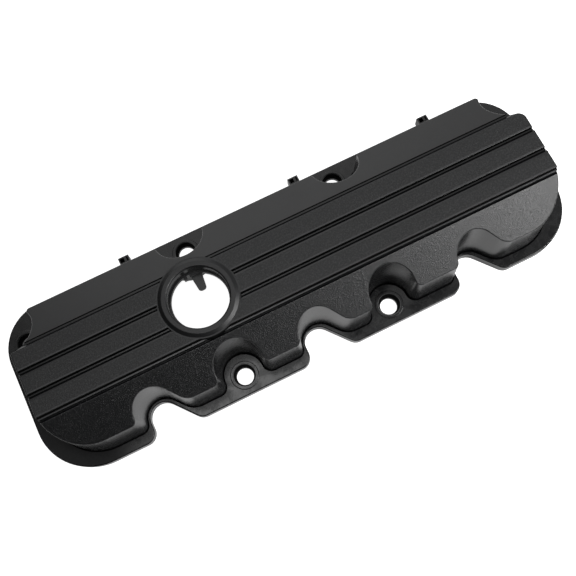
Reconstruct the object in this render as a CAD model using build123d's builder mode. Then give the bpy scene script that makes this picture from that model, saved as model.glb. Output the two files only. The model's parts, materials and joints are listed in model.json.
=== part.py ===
"""Engine valve cover: one injection-moulded nylon shell and the seal in its foot.

Frame: millimetres, +Z up, z = 0 on the flange's underside, the face that bolts to the
cylinder head.  +X runs along the head, +Y to the rear edge.  The shapes are drawn about the
middle of the flange and moved at the end, so that the origin is the middle of the whole
footprint.
"""

import os
from math import asin, atan, cos, radians, sin, tan

from build123d import *

# ---------------------------------------------------------------- flange
flange_length = 370.5
flange_width = 115.0
flange_thickness = 7.0
flange_front_radius = 37.0
flange_rear_radius = 30.0
flange_edge_round = 0.8

# ---------------------------------------------------------------- side walls
wall_front_margin = 7.4
wall_rear_margin = 11.6
wall_end_margin = 12.4
wall_front_radius = 30.0
wall_thickness = 3.2
wall_draft = 2.6
foot_channel_width = 0.8
foot_channel_depth = 0.7
roof_edge_round = 0.8

# ---------------------------------------------------------------- roof height and the drops from it
band_height = 47.0
strip_drop = 0.6
strip_slope = 28.4
panel_drop = 4.0
panel_slope = 30.1
roof_thickness = 2.8

# ---------------------------------------------------------------- three raised bands
strip_margin = 36.1
panel_margin = 31.5
step_width = 3.1
step_drop = 2.6
step_ledge_width = 1.6
step_ledge_round = 0.3
step_wall_shift = 2.6
foot_groove_depth = 0.8
foot_groove_floor = 0.4
groove_depth = 2.1
groove_edge_round = 0.25
groove_1_depth = 1.7
groove_1_floor = 1.4
groove_1_ramp = 2.0
groove_1_crest_round = 1.0
groove_2_floor = 1.3
groove_2_ramp = 3.5
groove_3_floor = 1.3
groove_3_ramp = 3.5
groove_crest_round = 3.4
band_2_narrower = 1.15
band_3_narrower = 1.6

# ---------------------------------------------------------------- spark plug notches, front edge
cylinder_pitch = 107.7
notch_middle_x = -1.3
notch_margin = 10.45
notch_radius = 12.05
notch_ramp_angle = 51.0
notch_left_round = 5.0
notch_right_round = 12.0
flange_notch_radius = 9.25
flange_notch_shift_x = -0.6
flange_notch_shift_y = 0.4
flange_notch_left_round = 7.5
flange_notch_right_round = 7.0

# ---------------------------------------------------------------- bolts
front_bolt_x = (-53.8, 48.8)
front_bolt_margin = 12.3
rear_bolt_spacing = 107.7
rear_bolt_margin = 12.1
corner_bolt_end_margin = 15.25
corner_bolt_rear_margin = 22.4
bolt_hole_diameter = 11.0
bolt_seat_diameter = 14.8
bolt_hole_length = 2.5
bolt_rim_width = 1.7
bolt_rim_height = 0.9
bolt_rim_round = 0.5

# ---------------------------------------------------------------- recesses that clear the bolts
recess_radius = 13.35
recess_shift_y = 0.85
recess_mouth_round = 5.5
pocket_radius = 14.2
pocket_mouth_round = 3.4
corner_pocket_radius = 14.5
corner_left_round = 3.2
corner_right_round = 7.5

# ---------------------------------------------------------------- oil fill neck
neck_x = -58.0
neck_y = 0.3
neck_bore_diameter = 37.4
neck_bore_depth = 9.3
neck_lip_round = 1.0
neck_land_width = 2.3
neck_edge_round = 1.0
neck_flank_width = 2.2
neck_rise = 1.3
neck_tube_wall = 2.6
neck_ledge_width = 1.1
neck_ledge_thickness = 3.0
neck_drum_diameter = 49.8
neck_drum_flare = 0.6

# ---------------------------------------------------------------- tab inside the neck
tab_shift_x = 4.5
tab_root_width = 7.9
tab_tip_width = 4.7
tab_tip_y = 5.7
tab_tip_round = 2.0
tab_thickness = 1.8
tab_block_y = 15.6
tab_nub_shift_x = -2.3
tab_nub_y = 15.2
tab_nub_width = 2.0

# ---------------------------------------------------------------- clip sockets, rear edge
socket_middle_x = (-92.4, 31.6, 129.5)
socket_width = 7.2
socket_reach = 3.8
socket_top_z = 8.2
socket_wall = 0.9
socket_rib = 1.6
socket_slit_width = 1.0
socket_depth = 6.0

# ---------------------------------------------------------------- seal and its groove
groove_outside = 1.0
seal_groove_width = 3.0
seal_groove_depth = 4.0
seal_clearance = 0.1
seal_top_gap = 0.3

# ---------------------------------------------------------------- how far cutters run past the part
overrun = 30.0

# ---------------------------------------------------------------- derived
half_length = flange_length / 2
half_width = flange_width / 2
strip_edge_y = half_width - strip_margin
panel_edge_y = -half_width + panel_margin
band_3_front_y = panel_edge_y + step_width
step_ledge_y = band_3_front_y - step_ledge_width
groove_1_width = groove_1_floor + groove_1_ramp
groove_2_width = groove_2_floor + groove_2_ramp
groove_3_width = groove_3_floor + groove_3_ramp
band_room = strip_edge_y - band_3_front_y - groove_1_width - groove_2_width - groove_3_width
band_1_width = (band_room + band_2_narrower + band_3_narrower) / 3
band_1_rear_y = strip_edge_y - groove_1_width
band_1_front_y = band_1_rear_y - band_1_width
band_2_rear_y = band_1_front_y - groove_2_width
band_2_front_y = band_2_rear_y - band_1_width + band_2_narrower
band_3_rear_y = band_2_front_y - groove_3_width
strip_top_height = band_height - strip_drop
panel_top_height = band_height - panel_drop
notch_y = -half_width + notch_margin
front_bolt_y = -half_width + front_bolt_margin
rear_bolt_y = half_width - rear_bolt_margin
corner_bolt_x = half_length - corner_bolt_end_margin
corner_bolt_y = half_width - corner_bolt_rear_margin
wall_front_y = -half_width + wall_front_margin
wall_rear_y = half_width - wall_rear_margin
wall_end_x = half_length - wall_end_margin
notch_xs = [notch_middle_x - cylinder_pitch, notch_middle_x, notch_middle_x + cylinder_pitch]
rear_bolt_xs = [-rear_bolt_spacing / 2, rear_bolt_spacing / 2]
bolt_points = [(x, front_bolt_y) for x in front_bolt_x]
bolt_points += [(x, rear_bolt_y) for x in rear_bolt_xs]
bolt_points += [(-corner_bolt_x, corner_bolt_y), (corner_bolt_x, corner_bolt_y)]
bolt_seat_height = flange_thickness + bolt_rim_height - bolt_hole_length
seat_align = (Align.CENTER, Align.CENTER, Align.MIN)
strip_fall = tan(radians(strip_slope))
panel_fall = tan(radians(panel_slope))
strip_shift = roof_thickness / cos(radians(strip_slope))
panel_shift = roof_thickness / cos(radians(panel_slope))
neck_radius = neck_bore_diameter / 2
neck_tube_radius = neck_radius + neck_tube_wall
step_ledge_height = band_height - step_drop
foot_groove_height = panel_top_height - foot_groove_depth
foot_groove_front_y = step_ledge_y - foot_groove_floor
groove_spans = [
    (strip_edge_y, groove_1_depth, groove_1_floor, groove_1_ramp, groove_1_crest_round, False),
    (band_1_front_y, groove_depth, groove_2_floor, groove_2_ramp, groove_crest_round, True),
    (band_2_front_y, groove_depth, groove_3_floor, groove_3_ramp, groove_crest_round, True),
]
neck_land_radius = neck_radius + neck_lip_round + neck_land_width
neck_drum_radius = neck_drum_diameter / 2
neck_top_z = flange_thickness + band_height + neck_rise
neck_ledge_z = neck_top_z - neck_bore_depth
neck_foot_z = neck_ledge_z - neck_ledge_thickness
roof_under_z = flange_thickness + band_height - groove_depth - roof_thickness


def bow(start, end, centre):
    """Short arc from start to end about centre."""
    radius = ((start[0] - centre[0]) ** 2 + (start[1] - centre[1]) ** 2) ** 0.5
    lean = (start[0] + end[0] - 2 * centre[0], start[1] + end[1] - 2 * centre[1])
    size = (lean[0] ** 2 + lean[1] ** 2) ** 0.5
    middle = (centre[0] + radius * lean[0] / size, centre[1] + radius * lean[1] / size)
    return ThreePointArc(start, middle, end)


def notch_shape(x, y, reach, line, left_round, right_round):
    """Plug notch: round end, upright left side, ramp on the right, rounded corners, open below."""
    lean = radians(90 - notch_ramp_angle)
    fall = radians(notch_ramp_angle)
    start = (x + reach * cos(lean), y + reach * sin(lean))
    foot = (start[0] + (start[1] - line) / tan(fall), line)
    back = right_round * tan(fall / 2)
    above = (foot[0] - back * cos(fall), foot[1] + back * sin(fall))
    after = (foot[0] + back, line)
    outside = line - overrun
    with BuildSketch(mode=Mode.PRIVATE) as shape:
        with BuildLine():
            if y - line > left_round:
                corner = (x - reach - left_round, line + left_round)
                first = (x - reach, y)
                Line((x - reach, line + left_round), first)
                bow((corner[0], line), (x - reach, line + left_round), corner)
            else:
                over = line + left_round
                run = ((reach + left_round) ** 2 - (over - y) ** 2) ** 0.5
                corner = (x - run, over)
                share = reach / (reach + left_round)
                first = (x - share * run, y + share * (over - y))
                bow((corner[0], line), first, corner)
            ThreePointArc(first, (x, y + reach), start)
            Line(start, above)
            bow(above, after, (after[0], line + right_round))
            Line(after, (after[0], outside))
            Line((after[0], outside), (corner[0], outside))
            Line((corner[0], outside), (corner[0], line))
        make_face()
    return shape.sketch


def bay_shape(x, y, reach, line, mouth_round, up):
    """Round bay open through a straight wall line above (1) or below (-1), mouth corners rounded."""
    over = line - up * mouth_round
    rise = over - y
    run = ((reach + mouth_round) ** 2 - rise**2) ** 0.5
    share = reach / (reach + mouth_round)
    left = (x - share * run, y + share * rise)
    right = (x + share * run, y + share * rise)
    outside = line + up * overrun
    with BuildSketch(mode=Mode.PRIVATE) as shape:
        with BuildLine():
            bow((x - run, line), left, (x - run, over))
            ThreePointArc(left, (x, y - up * reach), right)
            bow(right, (x + run, line), (x + run, over))
            Line((x + run, line), (x + run, outside))
            Line((x + run, outside), (x - run, outside))
            Line((x - run, outside), (x - run, line))
        make_face()
    return shape.sketch


def corner_shape(way, reach, end, rear, rear_round, end_round):
    """Round bay over a rear corner bolt, open to the rear and to the end."""
    x, y = corner_bolt_x, corner_bolt_y
    over = rear - rear_round
    run = ((reach + rear_round) ** 2 - (over - y) ** 2) ** 0.5
    share = reach / (reach + rear_round)
    upper = (x - share * run, y + share * (over - y))
    side = end - end_round
    drop = ((reach + end_round) ** 2 - (side - x) ** 2) ** 0.5
    share = reach / (reach + end_round)
    lower = (x + share * (side - x), y - share * drop)
    bend = reach * cos(radians(45))
    outside_x = half_length + overrun
    outside_y = half_width + overrun
    with BuildSketch(mode=Mode.PRIVATE) as shape:
        with BuildLine():
            bow((x - run, rear), upper, (x - run, over))
            ThreePointArc(upper, (x - bend, y - bend), lower)
            bow(lower, (end, y - drop), (side, y - drop))
            Line((end, y - drop), (outside_x, y - drop))
            Line((outside_x, y - drop), (outside_x, outside_y))
            Line((outside_x, outside_y), (x - run, outside_y))
            Line((x - run, outside_y), (x - run, rear))
        make_face()
        if way < 0:
            mirror(about=Plane.YZ, mode=Mode.REPLACE)
    return shape.sketch


def wall_outline(inset, least_round=0.0):
    """Outline of the wall at its foot, moved into the shell by inset."""
    front = wall_front_y + inset
    rear = wall_rear_y - inset
    end = wall_end_x - inset

    def eased(radius):
        return max(radius - inset, least_round)

    with BuildSketch(mode=Mode.PRIVATE) as outline:
        with Locations((0, (front + rear) / 2)):
            Rectangle(2 * end, rear - front)
        corners = outline.vertices().filter_by_position(Axis.Y, front - 1, front + 1)
        fillet(corners, radius=wall_front_radius - inset)
        for x in notch_xs:
            reach = notch_radius + inset
            left, right = eased(notch_left_round), eased(notch_right_round)
            add(notch_shape(x, notch_y, reach, front, left, right), mode=Mode.SUBTRACT)
        for x in front_bolt_x:
            reach = recess_radius + inset
            y = front_bolt_y + recess_shift_y
            shape = bay_shape(x, y, reach, front, eased(recess_mouth_round), -1)
            add(shape, mode=Mode.SUBTRACT)
        for x in rear_bolt_xs:
            reach = pocket_radius + inset
            shape = bay_shape(x, rear_bolt_y, reach, rear, eased(pocket_mouth_round), 1)
            add(shape, mode=Mode.SUBTRACT)
        for way, end_round in ((-1, corner_left_round), (1, corner_right_round)):
            reach = corner_pocket_radius + inset
            rounds = (eased(pocket_mouth_round), eased(end_round))
            add(corner_shape(way, reach, end, rear, *rounds), mode=Mode.SUBTRACT)
    return outline.sketch


def flange_outline():
    """Outline of the flange, with its notches round the plugs."""
    with BuildSketch(mode=Mode.PRIVATE) as outline:
        Rectangle(flange_length, flange_width)
        fillet(outline.vertices().group_by(Axis.Y)[0], radius=flange_front_radius)
        fillet(outline.vertices().group_by(Axis.Y)[-1], radius=flange_rear_radius)
        for x in notch_xs:
            middle = x + flange_notch_shift_x
            y = notch_y + flange_notch_shift_y
            rounds = (flange_notch_left_round, flange_notch_right_round)
            add(notch_shape(middle, y, flange_notch_radius, -half_width, *rounds), mode=Mode.SUBTRACT)
    return outline.sketch


def roof_section():
    """Section of everything under the roof's outer face before the grooves are cut."""
    far = half_width + overrun
    strip_far = strip_top_height - strip_fall * (far - strip_edge_y)
    panel_far = panel_top_height - panel_fall * (far + panel_edge_y)
    return [
        (-far, -5), (far, -5), (far, strip_far), (strip_edge_y, strip_top_height),
        (strip_edge_y, band_height), (step_ledge_y, band_height), (step_ledge_y, panel_top_height),
        (panel_edge_y, panel_top_height), (-far, panel_far),
    ]


def cavity_section():
    """Section of the hollow: the roof's section less its thickness, with a channel under each band."""
    far = half_width + overrun
    under = band_height - groove_depth - roof_thickness
    high = band_height - roof_thickness
    rear_y = strip_edge_y + (strip_top_height - strip_shift - under) / strip_fall
    strip_far = under - strip_fall * (far - rear_y)
    front_z = panel_top_height - panel_shift
    panel_far = front_z - panel_fall * (far + panel_edge_y)
    points = [(-far, -5), (far, -5), (far, strip_far), (rear_y, under)]
    bands = [(band_1_rear_y, band_1_front_y), (band_2_rear_y, band_2_front_y)]
    bands += [(band_3_rear_y, band_3_front_y)]
    for rear, front in bands:
        points += [(rear - roof_thickness, under), (rear - roof_thickness, high)]
        points += [(front + roof_thickness, high), (front + roof_thickness, under)]
    points += [(step_ledge_y + step_wall_shift, under), (panel_edge_y + step_wall_shift, front_z)]
    points += [(panel_edge_y, front_z), (-far, panel_far)]
    return points


outer_outline = wall_outline(0)
inner_outline = wall_outline(wall_thickness, 2.8)
foot_outline = flange_outline()
channel_outline = wall_outline(-foot_channel_width)
groove_outer = wall_outline(-groove_outside)
groove_inner = wall_outline(seal_groove_width - groove_outside, 0.8)
seal_outer = wall_outline(seal_clearance - groove_outside)
seal_inner = wall_outline(seal_groove_width - groove_outside - seal_clearance, 0.8)

# ================================================================ hollow
with BuildPart() as cavity:
    with BuildSketch(Plane.XY.offset(flange_thickness)):
        add(inner_outline)
    extrude(amount=band_height, taper=wall_draft)
    with BuildSketch(Plane.YZ.offset(-half_length)):
        with Locations((0, flange_thickness)):
            Polygon(*cavity_section(), align=None)
    extrude(amount=flange_length, mode=Mode.INTERSECT)

# ================================================================ seal groove
with BuildPart() as seal_groove:
    with BuildSketch(Plane.XY):
        add(groove_outer)
        add(groove_inner, mode=Mode.SUBTRACT)
    extrude(amount=seal_groove_depth)

# ================================================================ flange plate, top edge softened
with BuildPart() as foot:
    with BuildSketch(Plane.XY):
        add(foot_outline)
    extrude(amount=flange_thickness)
    fillet(foot.edges().group_by(Axis.Z)[-1], radius=flange_edge_round)

# ================================================================ rim of a bolt seat
with BuildPart() as bolt_rim:
    with BuildSketch(Plane.XY.offset(flange_thickness / 2)):
        Circle(bolt_seat_diameter / 2 + bolt_rim_width)
    extrude(amount=flange_thickness / 2 + bolt_rim_height)
    fillet(bolt_rim.edges().group_by(Axis.Z)[-1], radius=bolt_rim_round)

# ================================================================ cover
with BuildPart() as valve_cover:
    # drafted walls under the sloped and banded roof
    with BuildSketch(Plane.XY.offset(flange_thickness)):
        add(outer_outline)
    extrude(amount=band_height + 3, taper=wall_draft)
    with BuildSketch(Plane.YZ.offset(-half_length)):
        with Locations((0, flange_thickness)):
            Polygon(*roof_section(), align=None)
    extrude(amount=flange_length, mode=Mode.INTERSECT)
    # soft edge all round the roof, but not on the ridges that cross it
    ridges = (strip_edge_y, step_ledge_y, panel_edge_y)
    roof_edges = []
    for edge in valve_cover.edges():
        ridge = edge.length > 100 and min(abs(edge.center().Y - y) for y in ridges) < 0.01
        if edge.bounding_box().min.Z > flange_thickness + 0.5 and not ridge:
            roof_edges.append(edge)
    fillet(roof_edges, radius=roof_edge_round)
    # grooves to the ends: an upright wall, a narrow floor and a ramp with a rounded crest
    high = flange_thickness + band_height
    soft = groove_edge_round
    for rear, depth, floor, ramp, crest, rear_round in groove_spans:
        front = rear - floor - ramp
        floor_z = high - depth
        reach = ((crest - depth) ** 2 + ramp**2) ** 0.5
        lean = asin(crest / reach) - atan((crest - depth) / ramp)
        tangent = (front + crest * sin(lean), high - crest + crest * cos(lean))
        with BuildSketch(Plane.YZ.offset(-half_length)):
            with BuildLine():
                Polyline(tangent, (rear - floor, floor_z), (rear, floor_z))
                if rear_round:
                    Line((rear, floor_z), (rear, high - soft))
                    bow((rear, high - soft), (rear + soft, high), (rear + soft, high - soft))
                    Line((rear + soft, high), (rear + soft, high + 2))
                    Line((rear + soft, high + 2), (front, high + 2))
                else:
                    Line((rear, floor_z), (rear, high + 2))
                    Line((rear, high + 2), (front, high + 2))
                Line((front, high + 2), (front, high))
                bow((front, high), tangent, (front, high - crest))
            make_face()
        extrude(amount=flange_length, mode=Mode.SUBTRACT)
    # ledge in front of the last band, its lip rounded, and a groove at the foot of the step
    rear = band_3_front_y
    edge_y = step_ledge_y
    ledge_z = flange_thickness + step_ledge_height
    foot_z = flange_thickness + foot_groove_height
    lip = step_ledge_round
    with BuildSketch(Plane.YZ.offset(-half_length)):
        with BuildLine():
            bow((edge_y, ledge_z - lip), (edge_y + lip, ledge_z), (edge_y + lip, ledge_z - lip))
            Polyline((edge_y + lip, ledge_z), (rear, ledge_z), (rear, high - soft))
            bow((rear, high - soft), (rear + soft, high), (rear + soft, high - soft))
            Polyline((rear + soft, high), (rear + soft, high + 2), (panel_edge_y, high + 2))
            Polyline((panel_edge_y, high + 2), (panel_edge_y, flange_thickness + panel_top_height))
            Polyline((panel_edge_y, flange_thickness + panel_top_height), (foot_groove_front_y, foot_z))
            Polyline((foot_groove_front_y, foot_z), (edge_y, foot_z), (edge_y, ledge_z - lip))
        make_face()
    extrude(amount=flange_length, mode=Mode.SUBTRACT)
    add(foot.part)
    # shallow channel in the flange along the foot of the walls
    with BuildSketch(Plane.XY.offset(flange_thickness)):
        add(channel_outline)
        add(outer_outline, mode=Mode.SUBTRACT)
    extrude(amount=-foot_channel_depth, mode=Mode.SUBTRACT)
    # clip sockets on the rear edge: a block with a wide and a narrow pocket beside a rib
    for x in socket_middle_x:
        with BuildSketch(Plane.XY):
            with Locations((x, half_width - flange_edge_round + (socket_reach + flange_edge_round) / 2)):
                Rectangle(socket_width, socket_reach + flange_edge_round)
        extrude(amount=socket_top_z)
        left = x - socket_width / 2 + socket_wall
        right = x + socket_width / 2 - socket_wall
        rib = right - socket_slit_width - socket_rib
        for start, end in ((left, rib), (right - socket_slit_width, right)):
            with BuildSketch(Plane.XY.offset(socket_top_z)):
                with Locations(((start + end) / 2, half_width + (socket_reach - socket_wall) / 2)):
                    Rectangle(end - start, socket_reach - socket_wall)
            extrude(amount=-socket_depth, mode=Mode.SUBTRACT)
    # hollow
    add(cavity.part, mode=Mode.SUBTRACT)
    with BuildSketch(Plane.XY):
        add(inner_outline)
    extrude(amount=flange_thickness, mode=Mode.SUBTRACT)
    # oil fill neck: tube with a ledge at its foot, rounded lip, flat land and flush drum
    with Locations((neck_x, neck_y, neck_top_z)):
        Hole(radius=neck_radius, depth=neck_bore_depth + neck_ledge_thickness + 4)
    with BuildSketch(Plane((neck_x, neck_y, 0), x_dir=(1, 0, 0), z_dir=(0, -1, 0))) as neck_profile:
        ledge = neck_radius - neck_ledge_width
        flare = neck_drum_radius + neck_drum_flare
        band_z = flange_thickness + band_height
        Polygon(
            (ledge, neck_foot_z), (neck_tube_radius, neck_foot_z), (neck_tube_radius, roof_under_z),
            (flare, roof_under_z), (flare, flange_thickness + panel_top_height),
            (neck_drum_radius, band_z), (neck_land_radius + neck_flank_width, band_z),
            (neck_land_radius, neck_top_z), (neck_radius, neck_top_z), (neck_radius, neck_ledge_z),
            (ledge, neck_ledge_z),
            align=None,
        )
        top_points = neck_profile.vertices().group_by(Axis.Y)[-1].sort_by(Axis.X)
        fillet(top_points[0], radius=neck_lip_round)
        top_points = neck_profile.vertices().group_by(Axis.Y)[-1].sort_by(Axis.X)
        fillet(top_points[-1], radius=neck_edge_round)
    revolve(axis=Axis((neck_x, neck_y, 0), (0, 0, 1)))
    # tab across the foot of the neck, with the block at its root and the nub beside it
    root = neck_radius + 0.8
    middle = neck_x + tab_shift_x
    with BuildSketch(Plane.XY.offset(neck_foot_z)) as tab:
        tip_y = neck_y + tab_tip_y
        Polygon(
            (middle - tab_root_width / 2, neck_y + root), (middle - tab_tip_width / 2, tip_y),
            (middle + tab_tip_width / 2, tip_y), (middle + tab_root_width / 2, neck_y + root),
            align=None,
        )
        fillet(tab.vertices().group_by(Axis.Y)[0], radius=tab_tip_round)
    extrude(amount=tab_thickness)
    nub = neck_x + tab_nub_shift_x
    pieces = ((middle, tab_root_width, tab_block_y), (nub, tab_nub_width, tab_nub_y))
    for x, width, y in pieces:
        with BuildSketch(Plane.XY.offset(neck_foot_z)):
            with Locations((x, neck_y + (y + root) / 2)):
                Rectangle(width, root - y)
        extrude(amount=neck_ledge_thickness)
    # bolt seats: a rim, a counterbored ledge and the hole
    with Locations(*bolt_points):
        add(bolt_rim.part)
    with Locations(*[(x, y, bolt_hole_length) for x, y in bolt_points]):
        radii = (bolt_hole_diameter / 2, bolt_seat_diameter / 2)
        Cone(*radii, bolt_seat_height, align=seat_align, mode=Mode.SUBTRACT)
        Hole(bolt_hole_diameter / 2, depth=overrun)
    # seal groove in the foot
    add(seal_groove.part, mode=Mode.SUBTRACT)

# ================================================================ seal
with BuildPart() as gasket:
    with BuildSketch(Plane.XY):
        add(seal_outer)
        add(seal_inner, mode=Mode.SUBTRACT)
    extrude(amount=seal_groove_depth - seal_top_gap)

# the frame's origin is the middle of the whole footprint, clip sockets included
valve_cover.part.move(Location((0, -socket_reach / 2, 0)))
gasket.part.move(Location((0, -socket_reach / 2, 0)))
valve_cover.part.label = "valve_cover"
gasket.part.label = "gasket"

os.makedirs("parts", exist_ok=True)
export_step(valve_cover.part, "parts/valve_cover.step")
export_step(gasket.part, "parts/gasket.step")
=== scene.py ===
"""Dressing for the moulded valve cover: its nylon shell, its rubber seal and a plain studio."""

import json
import math

import bpy
from bpy.props import FloatProperty, FloatVectorProperty, PointerProperty
from bpy.types import Operator, Panel, PropertyGroup
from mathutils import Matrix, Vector


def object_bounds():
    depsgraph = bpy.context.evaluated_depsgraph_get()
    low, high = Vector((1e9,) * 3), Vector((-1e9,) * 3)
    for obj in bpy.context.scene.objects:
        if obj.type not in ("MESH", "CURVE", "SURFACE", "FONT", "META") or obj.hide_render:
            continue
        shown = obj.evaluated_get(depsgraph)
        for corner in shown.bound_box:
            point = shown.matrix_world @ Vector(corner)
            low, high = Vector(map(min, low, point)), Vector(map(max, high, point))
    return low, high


bl_info = {
    "name": "Moulded valve cover",
    "version": (1, 0, 0),
    "blender": (4, 5, 0),
    "location": "View3D > Sidebar > Valve cover",
    "description": "Finishes the moulded shell and its seal, and sets up a pale studio",
    "category": "Object",
}

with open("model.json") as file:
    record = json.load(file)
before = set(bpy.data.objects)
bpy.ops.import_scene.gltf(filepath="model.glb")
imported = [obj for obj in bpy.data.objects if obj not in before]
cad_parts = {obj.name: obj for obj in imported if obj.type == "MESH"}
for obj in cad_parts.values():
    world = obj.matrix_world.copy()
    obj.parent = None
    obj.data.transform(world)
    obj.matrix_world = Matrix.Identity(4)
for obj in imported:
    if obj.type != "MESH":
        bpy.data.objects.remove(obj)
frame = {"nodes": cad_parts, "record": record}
CAD_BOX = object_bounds()

# ---------------------------------------------------------------- places on the cover
# Metres in the frame's axes. A pair is the value where a mask is 0, then the value where it is 1.
RIM_Z = CAD_BOX[1][2]
BAND_Z = RIM_Z - 0.0013
MOUNTS = {mount["name"]: mount for mount in frame["record"]["mounts"]}
NECK_X, NECK_Y, _ = MOUNTS["oil_fill_bore"]["pos_m"]

# distance from the neck's axis
PAST_NECK = (0.0246, 0.0252)
NECK_OUTSIDE = (0.0254, 0.0250)
NECK_INSIDE = (0.0183, 0.0187)

# heights on the roof
ON_NECK_RIM = (BAND_Z - 0.0014, BAND_Z - 0.0010)
ON_BANDS = (BAND_Z - 0.0006, BAND_Z - 0.0002)
UNDER_BANDS = (BAND_Z - 0.0006, BAND_Z - 0.0009)
OVER_GROOVE_FLOOR = (BAND_Z - 0.0060, BAND_Z - 0.0055)
OVER_STEP = (BAND_Z - 0.0052, BAND_Z - 0.0048)
ON_STRIP = (BAND_Z - 0.018, BAND_Z - 0.016)
ON_PANEL = (BAND_Z - 0.020, BAND_Z - 0.018)

# heights at the foot, over the flange's underside
ON_FLANGE = (0.0095, 0.0082)
BELOW_FLANGE_TOP = (0.00695, 0.0067)
ABOVE_FLANGE_FOOT = (0.0015, 0.0022)
LOW_ON_WALL = (0.024, 0.009)
ABOVE_WALL_FOOT = (0.0072, 0.0080)

# lines across the roof, as places between the front (low) and the rear (high)
PANEL_EDGE = (-0.0277, -0.0279)
STRIP_EDGE = (0.0186, 0.0192)
REAR_OF_PANEL = (-0.0275, -0.0270)
FRONT_OF_STRIP = (0.0200, 0.0198)
# each groove's upright wall, and how far its shade reaches in front of it
GROOVE_WALLS = ((0.0195, 0.0004), (0.00475, 0.0006), (-0.01025, 0.0006), (-0.0248, 0.0006))
WALL_SOFTNESS = 0.0002
WALL_FACE = (0.0003, 0.0001)
# each painted highlight line along an edge of a band or of the step, and how bright it is painted
LIP_HIGHLIGHTS = ((0.0055, 0.8), (-0.0095, 0.8), (-0.0240, 0.7), (-0.0259, 1.0), (-0.0281, 0.3))
LIP_HIGHLIGHT_WIDTH = (0.0005, 0.0002)

# the painted half shade on the flange's front left corner, and the painted light on the lower walls,
# which thins to the right
CORNER_X, CORNER_SHADE = (-0.128, -0.152), 0.45
CORNER_Y = (0.030, 0.010)
WALL_LIGHT_FADE_X, WALL_LIGHT_RIGHT_SHARE = (0.075, 0.055), 0.25

# how far a surface faces up or to the front, from its normal
FACES_UP = (0.95, 0.99)
SLOPES_UP = (0.72, 0.82)
FLANGE_FACES_UP = (0.86, 0.96)
LIP_FACES_UP = (0.45, 0.70)
LEANS = (0.15, 0.30)
STANDS = (0.30, 0.18)
FACES_FRONT = (-0.7, -0.9)

# ---------------------------------------------------------------- how the finishes mix
# noise values: a pair is where a mask is 0, then where it is 1
NOISE_OVER_CELLS = 1.3
GRAIN_TOPS = (0.0, 0.55)
DUST_SPOTS = (0.60, 0.78)
PATCH_EDGE = (0.36, 0.64)
FLECK_EDGE = (0.46, 0.62)
FLECKS_PER_PATCH = 6.0

SHADE_COLOUR = (0.0005, 0.0005, 0.0005, 1.0)
SPECKLE_COLOUR = (0.024, 0.0245, 0.025, 1.0)
DUST_COLOUR = (0.05, 0.05, 0.05, 1.0)
BLOOM_COLOUR = (0.06, 0.06, 0.06, 1.0)
FLECK_SPECKLE = 0.7
GRAIN_SPECKLE = 0.2
PANEL_SPECKLE = 0.25
FLANGE_LIGHT_PATCHES = 0.5
DUST_SHARE = 0.04
BLOOM_SHARE = 0.25
PATCH_ROUGHNESS = 0.16
SHADE_ROUGHNESS = 0.85
SHADE_METAL = 0.9
GRAIN_GLOSS = -0.06
SHELL_SHEEN = 0.10
SEAL_SHEEN = 0.2
SMOOTH_GRAIN = 0.06
LUMP_SHARE = 0.35
SEAL_GRAIN_SIZE = 0.0004
SEAL_GRAIN_DEPTH = 0.00003
NYLON_IOR = 1.5

# ---------------------------------------------------------------- studio places
FLOOR_HALF = 3.0
FLOOR_Z = -0.0003
FLOOR_GREY = (0.72, 0.72, 0.72, 1.0)
KEY_PLACE, KEY_AIM, KEY_SIZE, KEY_POWER = (0.62, -0.52, 0.62), (0.05, -0.02, 0.02), (0.55, 0.55), 9.5
TOP_PLACE, TOP_AIM, TOP_SIZE = (-0.10, -0.03, 1.0), (-0.10, -0.03, 0.0), (0.34, 0.44)
CAMERA_PLACE = (-0.046728, -0.136058, 0.507118)
CAMERA_TURN = (14.93325, 2.07928, -26.05448)
SENSOR_WIDTH = 36.0
# stops from the front of the sky (0) to its rear (1), each with its brightness
SKY_FRONT, SKY_REAR = (0.30, 0.02), (0.98, 1.15)
# stops whose brightness is a share of the overhead setting
SKY_LOW, SKY_HIGH = (0.57, 0.24), (0.64, 1.0)
# the fade to the left and to the right: where it starts and ends, then the share at each end
SKY_LEFT = (-0.36, -0.05, 0.05, 1.0)
SKY_RIGHT = (0.60, 0.20, 0.28, 1.0)


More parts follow.
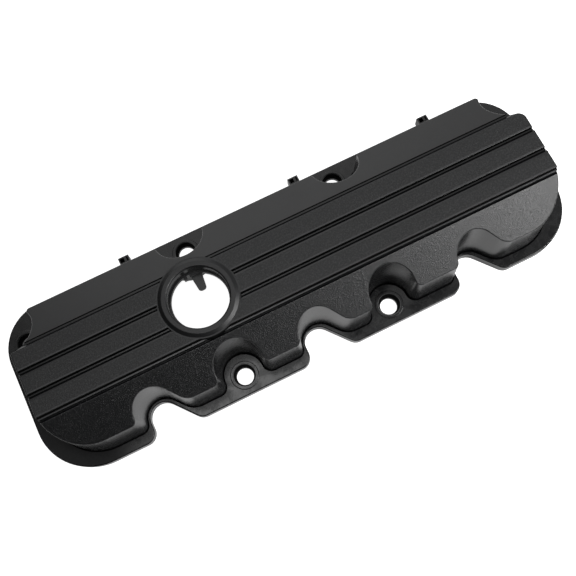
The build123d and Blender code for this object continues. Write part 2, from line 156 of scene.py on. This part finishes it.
# ---------------------------------------------------------------- settings
class ShellFinish(PropertyGroup):
    """Colours and surface of the moulded nylon."""

    nylon_colour: FloatVectorProperty(
        name="Nylon colour", description="Colour of the black nylon under its gloss",
        subtype="COLOR", size=3, min=0.0, max=1.0, default=(0.0070, 0.0072, 0.0077),
    )
    grain_colour: FloatVectorProperty(
        name="Grain colour", description="Colour of the grained front panel",
        subtype="COLOR", size=3, min=0.0, max=1.0, default=(0.0065, 0.0067, 0.0072),
    )
    band_colour: FloatVectorProperty(
        name="Band colour", description="Colour of the three grained bands",
        subtype="COLOR", size=3, min=0.0, max=1.0, default=(0.0060, 0.0062, 0.0066),
    )
    # painted light on the flange's upward faces, in uneven patches
    flange_light_colour: FloatVectorProperty(
        name="Flange light colour", description="Paler colour painted on the flange's upward faces as light, in uneven patches",
        subtype="COLOR", size=3, min=0.0, max=1.0, default=(0.0130, 0.0132, 0.0137),
    )
    # painted light on the lower walls
    wall_light_colour: FloatVectorProperty(
        name="Wall light colour", description="Paler colour painted on the lower walls as light",
        subtype="COLOR", size=3, min=0.0, max=1.0, default=(0.0200, 0.0203, 0.0208),
    )
    # painted highlights along the edges of the bands and the step
    lip_highlight_colour: FloatVectorProperty(
        name="Lip highlight colour", description="Paler colour painted as highlights along the edges of the bands",
        subtype="COLOR", size=3, min=0.0, max=1.0, default=(0.048, 0.0485, 0.050),
    )
    neck_roughness: FloatProperty(
        name="Neck roughness", description="Roughness of the rim of the neck",
        default=0.42, min=0.0, max=1.0,
    )
    flange_roughness: FloatProperty(
        name="Flange roughness", description="Roughness of the flange round the foot",
        default=0.23, min=0.0, max=1.0,
    )
    wall_roughness: FloatProperty(
        name="Wall roughness", description="Roughness of the polished walls",
        default=0.24, min=0.0, max=1.0,
    )
    band_roughness: FloatProperty(
        name="Band roughness", description="Roughness of the three grained bands",
        default=0.52, min=0.0, max=1.0,
    )
    panel_roughness: FloatProperty(
        name="Panel roughness", description="Roughness of the grained front panel",
        default=0.34, min=0.0, max=1.0,
    )
    strip_roughness: FloatProperty(
        name="Strip roughness", description="Roughness of the satin rear strip",
        default=0.38, min=0.0, max=1.0,
    )
    grain_size: FloatProperty(
        name="Grain size", description="Size of one grain of the etched texture", unit="LENGTH",
        default=0.00055, min=0.0001, max=0.005,
    )
    grain_depth: FloatProperty(
        name="Grain depth", description="Depth of the etched texture", unit="LENGTH",
        default=0.00006, min=0.0, max=0.001,
    )


class SealFinish(PropertyGroup):
    """Colour and surface of the rubber seal."""

    rubber_colour: FloatVectorProperty(
        name="Rubber colour", description="Colour of the rubber", subtype="COLOR", size=3,
        min=0.0, max=1.0, default=(0.016, 0.016, 0.017),
    )
    rubber_roughness: FloatProperty(
        name="Rubber roughness", description="Roughness of the rubber", default=0.7, min=0.0, max=1.0,
    )


class StudioSettings(PropertyGroup):
    """Floor, light and camera."""

    floor_level: FloatProperty(
        name="Floor glow", description="How bright the floor looks to the camera",
        default=1.0, min=0.0, max=5.0,
    )
    floor_bounce: FloatProperty(
        name="Floor bounce", description="How much the floor glows onto the object",
        default=0.31, min=0.0, max=5.0,
    )
    overhead: FloatProperty(
        name="Overhead light", description="Brightness of the sky over the object",
        default=0.95, min=0.0, max=5.0,
    )
    top_light: FloatProperty(
        name="Top softbox", description="Power of the softbox straight over the front left half",
        default=1.35, min=0.0, max=20.0,
    )
    lens: FloatProperty(
        name="Lens", description="Focal length of the camera in millimetres",
        default=50.01, min=10.0, max=200.0,
    )


# ---------------------------------------------------------------- node helpers
def new_group(name, inputs, outputs):
    """An empty shader node group with the named sockets, and its two end nodes."""
    group = bpy.data.node_groups.new(name, "ShaderNodeTree")
    for label, kind, default in inputs:
        item = group.interface.new_socket(label, in_out="INPUT", socket_type=kind)
        if default is not None:
            item.default_value = default
    for label in outputs:
        group.interface.new_socket(label, in_out="OUTPUT", socket_type="NodeSocketFloat")
    return group, group.nodes.new("NodeGroupInput"), group.nodes.new("NodeGroupOutput")


class NodeNet:
    """Short ways to add and join nodes in one tree."""

    def __init__(self, tree):
        self.tree = tree

    def add(self, kind, **settings):
        node = self.tree.nodes.new(kind)
        for name, value in settings.items():
            setattr(node, name, value)
        return node

    def join(self, start, end):
        self.tree.links.new(start, end)

    def feed(self, socket, value):
        """Links a socket to another one, or gives it a plain value."""
        if isinstance(value, bpy.types.NodeSocket):
            self.join(value, socket)
        else:
            socket.default_value = value

    def math(self, operation, first, second=0.0, third=None):
        node = self.add("ShaderNodeMath", operation=operation)
        self.feed(node.inputs[0], first)
        self.feed(node.inputs[1], second)
        if third is not None:
            self.feed(node.inputs[2], third)
        return node.outputs[0]

    def both(self, first, *others):
        """The product of two or more masks."""
        for other in others:
            first = self.math("MULTIPLY", first, other)
        return first

    def either(self, first, *others):
        """The greatest of two or more masks."""
        for other in others:
            first = self.math("MAXIMUM", first, other)
        return first

    def ramp(self, value, low, high, start=0.0, end=1.0):
        """Turns smoothly from start to end as the value goes from low to high, which may be lower."""
        node = self.add("ShaderNodeMapRange", interpolation_type="SMOOTHSTEP")
        for socket, item in zip(node.inputs, (value, low, high, start, end)):
            self.feed(socket, item)
        return node.outputs[0]

    def blend(self, share, first, second):
        node = self.add("ShaderNodeMix", data_type="FLOAT")
        self.feed(node.inputs[0], share)
        self.feed(node.inputs[2], first)
        self.feed(node.inputs[3], second)
        return node.outputs[0]

    def tint(self, share, first, second):
        node = self.add("ShaderNodeMix", data_type="RGBA")
        self.feed(node.inputs[0], share)
        self.feed(node.inputs[6], first)
        self.feed(node.inputs[7], second)
        return node.outputs[2]

    def parts(self, vector):
        """The three parts of a vector."""
        node = self.add("ShaderNodeSeparateXYZ")
        self.join(vector, node.inputs[0])
        return node.outputs

    def noise(self, place, **inputs):
        node = self.add("ShaderNodeTexNoise", noise_dimensions="3D")
        self.join(place, node.inputs["Vector"])
        for label, value in inputs.items():
            self.feed(node.inputs[label], value)
        return node.outputs["Fac"]

    def group(self, build, **inputs):
        """Places a shared node group, which is built the first time it is asked for."""
        name = build.__name__.replace("_", " ").capitalize()
        tree = bpy.data.node_groups.get(name) or build(name)
        node = self.add("ShaderNodeGroup", node_tree=tree)
        for label, value in inputs.items():
            self.feed(node.inputs[label], value)
        return node.outputs

    def bump(self, height, shader):
        """Lets a height in metres bend the shader's normal."""
        node = self.add("ShaderNodeBump")
        node.inputs["Strength"].default_value = 1.0
        node.inputs["Distance"].default_value = 1.0
        self.join(height, node.inputs["Height"])
        self.join(node.outputs["Normal"], shader.inputs["Normal"])


# ---------------------------------------------------------------- shared node groups
def etched_grain(name):
    """Fine etched texture: a height in metres, and a mask that is 1 on the grain's tops."""
    group, start, end = new_group(
        name,
        [("Place", "NodeSocketVector", None), ("Size", "NodeSocketFloat", 0.0005),
         ("Depth", "NodeSocketFloat", 0.00005)],
        ["Height", "Tops"],
    )
    net = NodeNet(group)
    place = start.outputs["Place"]
    scale = net.math("DIVIDE", 1.0, start.outputs["Size"])
    fine = net.noise(place, Scale=scale, Detail=2.0, Roughness=0.55)
    cells = net.add("ShaderNodeTexVoronoi", voronoi_dimensions="3D", feature="SMOOTH_F1")
    net.join(place, cells.inputs["Vector"])
    net.join(scale, cells.inputs["Scale"])
    cells.inputs["Smoothness"].default_value = 0.6
    mixed = net.math("SUBTRACT", net.math("MULTIPLY", fine, NOISE_OVER_CELLS), cells.outputs["Distance"])
    tops = net.ramp(mixed, *GRAIN_TOPS)
    net.join(net.math("MULTIPLY", tops, start.outputs["Depth"]), end.inputs["Height"])
    net.join(tops, end.inputs["Tops"])
    return group


def handling_marks(name):
    """Faint uneven sheen, as a value round zero, and a mask of fine dust."""
    group, start, end = new_group(
        name,
        [("Place", "NodeSocketVector", None), ("Amount", "NodeSocketFloat", 0.05)],
        ["Sheen", "Dust"],
    )
    net = NodeNet(group)
    place = start.outputs["Place"]
    wide = net.noise(place, Scale=38.0, Detail=4.0)
    small = net.noise(place, Scale=420.0, Detail=3.0)
    centred = net.math("SUBTRACT", wide, 0.5)
    net.join(net.math("MULTIPLY", centred, start.outputs["Amount"]), end.inputs["Sheen"])
    net.join(net.ramp(small, *DUST_SPOTS), end.inputs["Dust"])
    return group


def uneven_patches(name):
    """Uneven patches a few millimetres wide, as handled nylon shows, and much smaller flecks; on the
    flange they also lay out painted light.
    """
    group, start, end = new_group(
        name,
        [("Place", "NodeSocketVector", None), ("Size", "NodeSocketFloat", 0.006)],
        ["Patch", "Fleck"],
    )
    net = NodeNet(group)
    place = start.outputs["Place"]
    scale = net.math("DIVIDE", 1.0, start.outputs["Size"])
    cloud = net.noise(place, Scale=scale, Detail=5.0, Roughness=0.62, Distortion=0.4)
    fleck = net.noise(place, Scale=net.math("MULTIPLY", scale, FLECKS_PER_PATCH), Detail=2.0)
    net.join(net.ramp(cloud, *PATCH_EDGE), end.inputs["Patch"])
    net.join(net.ramp(fleck, *FLECK_EDGE), end.inputs["Fleck"])
    return group


def cover_regions(name):
    """Masks of the cover's surfaces and of its painted light, shade and highlights, from the place on it
    and the way the surface faces.
    """
    group, start, end = new_group(
        name,
        [("Place", "NodeSocketVector", None), ("Facing", "NodeSocketVector", None)],
        ["Bands", "Panel", "Strip", "Foot", "Neck", "Painted shade", "Lip highlight", "Low wall"],
    )
    net = NodeNet(group)
    x, y, z = net.parts(start.outputs["Place"])
    _, facing_y, facing_z = net.parts(start.outputs["Facing"])
    steepness = net.math("ABSOLUTE", facing_z)
    away = distance_from_neck(net, x, y)
    off_neck = net.ramp(away, *PAST_NECK)
    sloping = net.ramp(facing_z, *SLOPES_UP)
    flange = net.both(net.ramp(z, *ON_FLANGE), net.ramp(facing_z, *FLANGE_FACES_UP))
    rim = net.both(net.ramp(away, *NECK_OUTSIDE), net.ramp(away, *NECK_INSIDE), net.ramp(z, *ON_NECK_RIM))
    # the painted light on the lower walls is weaker to the right
    wall_light_fade = net.ramp(x, *WALL_LIGHT_FADE_X, WALL_LIGHT_RIGHT_SHARE, 1.0)
    masks = {
        "Bands": net.both(net.ramp(z, *ON_BANDS), net.ramp(facing_z, *FACES_UP), off_neck),
        "Panel": net.both(net.ramp(y, *PANEL_EDGE), net.ramp(z, *ON_PANEL), sloping),
        "Strip": net.both(net.ramp(y, *STRIP_EDGE), net.ramp(z, *ON_STRIP), sloping),
        "Foot": flange,
        "Neck": rim,
        # painted light on the lower walls
        "Low wall": net.both(
            net.ramp(z, *LOW_ON_WALL), net.ramp(z, *ABOVE_WALL_FOOT), wall_light_fade, net.ramp(steepness, *STANDS),
        ),
        # painted shade in the foot channel, the bolt seats, the grooves and on the flange's front left
        # corner
        "Painted shade": net.either(
            foot_shade(net, z, steepness),
            corner_shade(net, x, y, flange),
            groove_shade(net, y, z, facing_y, off_neck),
        ),
        # painted highlights along the edges of the bands and the step
        "Lip highlight": net.both(
            band_lip_highlights(net, y), net.ramp(z, *OVER_STEP), net.ramp(facing_z, *LIP_FACES_UP), off_neck,
        ),
    }
    for label, mask in masks.items():
        net.join(mask, end.inputs[label])
    return group


def distance_from_neck(net, x, y):
    """Distance from the neck's upright axis."""
    dx = net.math("SUBTRACT", x, NECK_X)
    dy = net.math("SUBTRACT", y, NECK_Y)
    return net.math("SQRT", net.math("ADD", net.math("MULTIPLY", dx, dx), net.math("MULTIPLY", dy, dy)))


def foot_shade(net, z, steepness):
    """Shade in the narrow channel at the foot of the walls and in the bolt seats."""
    low = net.both(net.ramp(z, *BELOW_FLANGE_TOP), net.ramp(z, *ABOVE_FLANGE_FOOT))
    return net.both(low, net.ramp(steepness, *LEANS))


def corner_shade(net, x, y, flange):
    """Half shade on the flange's front left corner, which takes little light."""
    return net.both(flange, net.ramp(x, *CORNER_X, 0.0, CORNER_SHADE), net.ramp(y, *CORNER_Y))


def groove_shade(net, y, z, facing_y, off_neck):
    """Shade on the upright walls of the grooves between the bands."""
    between = net.both(net.ramp(y, *FRONT_OF_STRIP), net.ramp(y, *REAR_OF_PANEL))
    deep = net.ramp(z, *OVER_GROOVE_FLOOR)
    shade = net.both(between, net.ramp(facing_y, *FACES_FRONT), deep, off_neck)
    sunk = net.both(net.ramp(z, *UNDER_BANDS), deep, off_neck)
    for wall_y, reach in GROOVE_WALLS:
        start_y = wall_y - reach
        face_y = [wall_y + offset for offset in WALL_FACE]
        near = net.both(net.ramp(y, start_y, start_y + WALL_SOFTNESS), net.ramp(y, *face_y))
        shade = net.either(shade, net.both(near, sunk))
    return shade


def band_lip_highlights(net, y):
    """Narrow painted highlight lines along the straight edges of the bands."""
    lines = []
    for edge_y, highlight_strength in LIP_HIGHLIGHTS:
        distance = net.math("ABSOLUTE", net.math("SUBTRACT", y, edge_y))
        lines.append(net.ramp(distance, *LIP_HIGHLIGHT_WIDTH, 0.0, highlight_strength))
    return net.either(*lines)


# ---------------------------------------------------------------- materials
def fresh_material(name):
    """A new node material with its Principled shader, and a net for its tree."""
    material = bpy.data.materials.new(name)
    material.use_nodes = True
    tree = material.node_tree
    shader = next(n for n in tree.nodes if n.type == "BSDF_PRINCIPLED")
    return material, shader, NodeNet(tree)


def dress(node, material):
    """Puts one material on every slot of a CAD node."""
    mesh = frame["nodes"][node].data
    mesh.materials.clear()
    mesh.materials.append(material)


def nylon_colour(net, finish, regions, grain, marks, patches):
    """Black nylon: speckled grain, a little fine dust, painted light on the flange and the lower walls,
    painted highlights on the lips and painted shade in the crevices.
    """
    colour = net.tint(regions["Panel"], (*finish.nylon_colour, 1.0), (*finish.grain_colour, 1.0))
    colour = net.tint(regions["Bands"], colour, (*finish.band_colour, 1.0))
    tops = net.math("MULTIPLY", grain["Tops"], GRAIN_SPECKLE)
    coarse = net.math("MULTIPLY_ADD", patches["Fleck"], FLECK_SPECKLE, tops)
    where = net.math("MULTIPLY_ADD", regions["Panel"], PANEL_SPECKLE, regions["Bands"])
    colour = net.tint(net.both(coarse, where), colour, SPECKLE_COLOUR)
    # painted light on the flange's upward faces, laid out in uneven patches and flecks
    flange_light_share = net.math("MULTIPLY_ADD", patches["Patch"], FLANGE_LIGHT_PATCHES, patches["Fleck"])
    flange_light_mask = net.both(regions["Foot"], flange_light_share)
    colour = net.tint(net.math("MINIMUM", flange_light_mask, 1.0), colour, (*finish.flange_light_colour, 1.0))
    # painted light on the lower walls
    colour = net.tint(regions["Low wall"], colour, (*finish.wall_light_colour, 1.0))
    # painted highlights along the edges of the bands and the step
    colour = net.tint(regions["Lip highlight"], colour, (*finish.lip_highlight_colour, 1.0))
    # painted shade in the crevices, the grooves and on the flange's front left corner
    colour = net.tint(regions["Painted shade"], colour, SHADE_COLOUR)
    return net.tint(net.math("MULTIPLY", marks["Dust"], DUST_SHARE), colour, DUST_COLOUR)


def nylon_roughness(net, finish, regions, grain, marks, patches, grained):
    """Polished walls, satin strip, dull bands and a mottled flange, all a little uneven."""
    half = PATCH_ROUGHNESS / 2
    mottled = net.math("MULTIPLY_ADD", patches["Patch"], PATCH_ROUGHNESS, finish.flange_roughness - half)
    rough = finish.wall_roughness
    for label, value in (
        ("Bands", finish.band_roughness),
        ("Panel", finish.panel_roughness),
        ("Strip", finish.strip_roughness),
        ("Foot", mottled),
        ("Neck", finish.neck_roughness),
        ("Painted shade", SHADE_ROUGHNESS),
    ):
        rough = net.blend(regions[label], rough, value)
    uneven = net.math("ADD", rough, marks["Sheen"])
    return net.math("ADD", uneven, net.math("MULTIPLY", net.both(grain["Tops"], grained), GRAIN_GLOSS))


# ---------------------------------------------------------------- operators
class COVER_OT_shell(Operator):
    """Finish the moulded shell: polished walls, grained bands and panel, satin rear strip"""

    bl_idname = "valve_cover.shell"
    bl_label = "Moulded shell"

    def execute(self, context):
        finish = context.scene.shell_finish
        material, shader, net = fresh_material("black_nylon")
        place = net.add("ShaderNodeTexCoord").outputs["Object"]
        facing = net.add("ShaderNodeNewGeometry").outputs["Normal"]
        regions = net.group(cover_regions, Place=place, Facing=facing)
        grain = net.group(etched_grain, Place=place, Size=finish.grain_size, Depth=finish.grain_depth)
        marks = net.group(handling_marks, Place=place, Amount=SHELL_SHEEN)
        patches = net.group(uneven_patches, Place=place)
        grained = net.either(regions["Bands"], regions["Panel"])

        colour = nylon_colour(net, finish, regions, grain, marks, patches)
        net.join(colour, shader.inputs["Base Color"])
        rough = nylon_roughness(net, finish, regions, grain, marks, patches, grained)
        net.join(rough, shader.inputs["Roughness"])
        # plain gloss is too bright in a narrow gap, so the painted crevice shade is partly metallic as
        # well, which darkens its gloss too
        net.join(net.math("MULTIPLY", regions["Painted shade"], SHADE_METAL), shader.inputs["Metallic"])
        shader.inputs["IOR"].default_value = NYLON_IOR

        height = net.math("MULTIPLY", grain["Height"], net.blend(grained, SMOOTH_GRAIN, 1.0))
        lumps = net.math("MULTIPLY", patches["Fleck"], finish.grain_depth)
        lump_share = net.math("MULTIPLY", grained, LUMP_SHARE)
        net.bump(net.math("MULTIPLY_ADD", lumps, lump_share, height), shader)
        dress("valve_cover", material)
        return {"FINISHED"}


class COVER_OT_seal(Operator):
    """Finish the rubber seal in the foot of the cover"""

    bl_idname = "valve_cover.seal"
    bl_label = "Rubber seal"

    def execute(self, context):
        finish = context.scene.seal_finish
        material, shader, net = fresh_material("seal_rubber")
        place = net.add("ShaderNodeTexCoord").outputs["Object"]
        marks = net.group(handling_marks, Place=place, Amount=SEAL_SHEEN)
        grain = net.group(etched_grain, Place=place, Size=SEAL_GRAIN_SIZE, Depth=SEAL_GRAIN_DEPTH)
        bloom = net.math("MULTIPLY", marks["Dust"], BLOOM_SHARE)
        net.join(net.tint(bloom, (*finish.rubber_colour, 1.0), BLOOM_COLOUR), shader.inputs["Base Color"])
        net.join(net.math("ADD", marks["Sheen"], finish.rubber_roughness), shader.inputs["Roughness"])
        net.bump(grain["Height"], shader)
        dress("gasket", material)
        return {"FINISHED"}


class COVER_OT_studio(Operator):
    """Set up the pale floor, the soft light and the camera"""

    bl_idname = "valve_cover.studio"
    bl_label = "Studio"

    def execute(self, context):
        studio = context.scene.studio_settings
        lay_floor(studio)
        light_sky(context.scene, studio)
        # one softbox to the front right, one straight over the front left half
        hang_softbox("key_softbox", KEY_PLACE, KEY_AIM, KEY_SIZE, KEY_POWER)
        hang_softbox("top_softbox", TOP_PLACE, TOP_AIM, TOP_SIZE, studio.top_light)
        set_camera(context.scene, studio)
        context.scene.view_settings.view_transform = "Standard"
        return {"FINISHED"}


# ---------------------------------------------------------------- studio pieces
def lay_floor(studio):
    """A pale floor that looks white to the camera and throws a softer glow onto the object."""
    mesh = bpy.data.meshes.new("floor")
    corners = [(-1, -1), (1, -1), (1, 1), (-1, 1)]
    points = [(x * FLOOR_HALF, y * FLOOR_HALF, FLOOR_Z) for x, y in corners]
    mesh.from_pydata(points, [], [(0, 1, 2, 3)])
    floor = bpy.data.objects.new("floor", mesh)
    bpy.context.collection.objects.link(floor)
    material, shader, net = fresh_material("pale_floor")
    shader.inputs["Base Color"].default_value = FLOOR_GREY
    shader.inputs["Roughness"].default_value = 0.9
    glow = [(level, level, level, 1.0) for level in (studio.floor_bounce, studio.floor_level)]
    direct = net.add("ShaderNodeLightPath").outputs["Is Camera Ray"]
    net.join(net.tint(direct, *glow), shader.inputs["Emission Color"])
    shader.inputs["Emission Strength"].default_value = 1.0
    mesh.materials.append(material)


def light_sky(scene, studio):
    """A sky that is bright behind and overhead and dark in front, and white to the camera."""
    world = bpy.data.worlds.new("studio")
    scene.world = world
    world.use_nodes = True
    world.node_tree.nodes.clear()
    net = NodeNet(world.node_tree)
    across, along, _ = net.parts(net.add("ShaderNodeTexCoord").outputs["Generated"])
    level = net.add("ShaderNodeValToRGB")
    net.join(net.math("MULTIPLY_ADD", along, 0.5, 0.5), level.inputs[0])
    stops = level.color_ramp.elements
    for stop, (position, grey) in zip(stops, (SKY_FRONT, SKY_REAR)):
        stop.position, stop.color = position, (grey, grey, grey, 1.0)
    for position, share in (SKY_LOW, SKY_HIGH):
        grey = share * studio.overhead
        stops.new(position).color = (grey, grey, grey, 1.0)
    around = net.add("ShaderNodeBackground")
    net.join(level.outputs[0], around.inputs[0])
    net.join(net.both(net.ramp(across, *SKY_LEFT), net.ramp(across, *SKY_RIGHT)), around.inputs[1])
    seen = net.add("ShaderNodeBackground")
    seen.inputs[0].default_value = (1.0, 1.0, 1.0, 1.0)
    mix = net.add("ShaderNodeMixShader")
    net.join(net.add("ShaderNodeLightPath").outputs["Is Camera Ray"], mix.inputs[0])
    net.join(around.outputs[0], mix.inputs[1])
    net.join(seen.outputs[0], mix.inputs[2])
    net.join(mix.outputs[0], net.add("ShaderNodeOutputWorld").inputs[0])


def hang_softbox(name, place, aim, size, power):
    """One soft area light that looks at a point."""
    lamp = bpy.data.lights.new(name, "AREA")
    lamp.shape = "RECTANGLE"
    lamp.size, lamp.size_y = size
    lamp.energy = power
    box = bpy.data.objects.new(name, lamp)
    box.location = place
    box.rotation_euler = (Vector(aim) - Vector(place)).to_track_quat("-Z", "Y").to_euler()
    bpy.context.collection.objects.link(box)


def set_camera(scene, studio):
    """The scene's camera, which looks down on the cover from over its front edge."""
    optics = bpy.data.cameras.new("camera")
    optics.lens = studio.lens
    optics.sensor_width = SENSOR_WIDTH
    optics.sensor_fit = "HORIZONTAL"
    optics.clip_start = 0.01
    optics.clip_end = 20.0
    camera = bpy.data.objects.new("camera", optics)
    camera.location = CAMERA_PLACE
    camera.rotation_euler = [math.radians(turn) for turn in CAMERA_TURN]
    bpy.context.collection.objects.link(camera)
    scene.camera = camera


# ---------------------------------------------------------------- add-on
class COVER_PT_panel(Panel):
    """The pieces and their settings"""

    bl_idname = "COVER_PT_panel"
    bl_label = "Valve cover"
    bl_space_type = "VIEW_3D"
    bl_region_type = "UI"
    bl_category = "Valve cover"

    def draw(self, context):
        scene = context.scene
        for label, group, operator in (
            ("Shell", scene.shell_finish, COVER_OT_shell),
            ("Seal", scene.seal_finish, COVER_OT_seal),
            ("Studio", scene.studio_settings, COVER_OT_studio),
        ):
            box = self.layout.box()
            box.label(text=label)
            for name in group.__annotations__:
                box.prop(group, name)
            box.operator(operator.bl_idname)


CLASSES = (
    ShellFinish, SealFinish, StudioSettings,
    COVER_OT_shell, COVER_OT_seal, COVER_OT_studio, COVER_PT_panel,
)


def register():
    for item in CLASSES:
        bpy.utils.register_class(item)
    bpy.types.Scene.shell_finish = PointerProperty(type=ShellFinish)
    bpy.types.Scene.seal_finish = PointerProperty(type=SealFinish)
    bpy.types.Scene.studio_settings = PointerProperty(type=StudioSettings)


def unregister():
    for name in ("shell_finish", "seal_finish", "studio_settings"):
        delattr(bpy.types.Scene, name)
    for item in reversed(CLASSES):
        bpy.utils.unregister_class(item)


def main():
    register()
    bpy.ops.valve_cover.studio()
    bpy.ops.valve_cover.shell()
    bpy.ops.valve_cover.seal()


if __name__ == "__main__":
    main()
